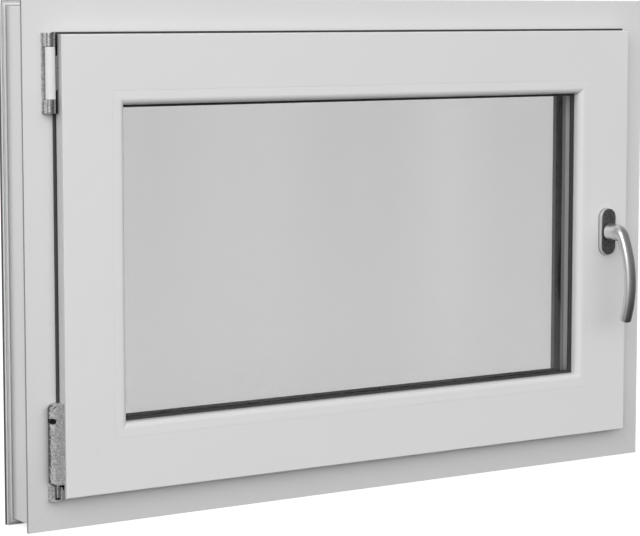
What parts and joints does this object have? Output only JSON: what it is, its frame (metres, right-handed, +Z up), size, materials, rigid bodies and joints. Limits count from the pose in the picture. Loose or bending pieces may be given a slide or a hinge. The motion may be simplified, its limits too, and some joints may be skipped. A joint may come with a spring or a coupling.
{
  "type": "tilt and turn window",
  "caption": "White plastic tilt and turn window with double glazing, hinged on the left, with a lever handle on the right stile that turns from down to up.",
  "frame": {"origin": "middle of the foot strip under the sill, the flat face at the outdoor edge of the frame's underside, halfway along the width", "axes": "+X to the right seen from the room, +Y to the outdoors, +Z up; hinges at -X, handle at +X"},
  "size_m": [0.9, 0.1396, 0.6],
  "materials": {
    "white_upvc": "satin white",
    "clear_glass": "clear",
    "spacer_aluminium": "mill",
    "edge_sealant": "matt",
    "black_gasket": "matt",
    "brushed_steel": "brushed",
    "white_cap": "smooth",
    "cast_zinc": "mottled zinc casting",
    "black_bearing": "smooth",
    "satin_handle": "satin anodised"
  },
  "bodies": {
    "window": {"frame_sill": "white_upvc", "frame_left_jamb": "white_upvc", "frame_head": "white_upvc", "frame_right_jamb": "white_upvc", "sash_bottom_rail": "white_upvc", "sash_hinge_stile": "white_upvc", "sash_top_rail": "white_upvc", "sash_lock_stile": "white_upvc", "bottom_glazing_bead": "white_upvc", "left_glazing_bead": "white_upvc", "top_glazing_bead": "white_upvc", "right_glazing_bead": "white_upvc", "inner_pane": "clear_glass", "outer_pane": "clear_glass", "glass_spacer": "spacer_aluminium", "glass_edge_sealant": "edge_sealant", "inner_glazing_gasket": "black_gasket", "outer_glazing_gasket": "black_gasket", "sash_seal": "black_gasket", "frame_seal": "black_gasket", "top_hinge_bracket": "brushed_steel", "top_hinge_pin": "brushed_steel", "top_hinge_sleeve": "white_cap", "top_hinge_arm": "cast_zinc", "corner_hinge_body": "cast_zinc", "corner_bearing_bracket": "cast_zinc", "corner_pivot_pin": "brushed_steel", "handle_rosette": "satin_handle", "handle_bearing_ring": "black_bearing", "left_drain_cap": "white_cap", "right_drain_cap": "white_cap"},
    "handle": {"handle_lever": "satin_handle"}
  },
  "joints": [
    {"name": "handle_turn", "type": "hinge", "parent": "window", "child": "handle", "pos_m": [0.3764, -0.0852, 0.302], "axis": [0, 1, 0], "range_deg": [0, 180]}
  ]
}
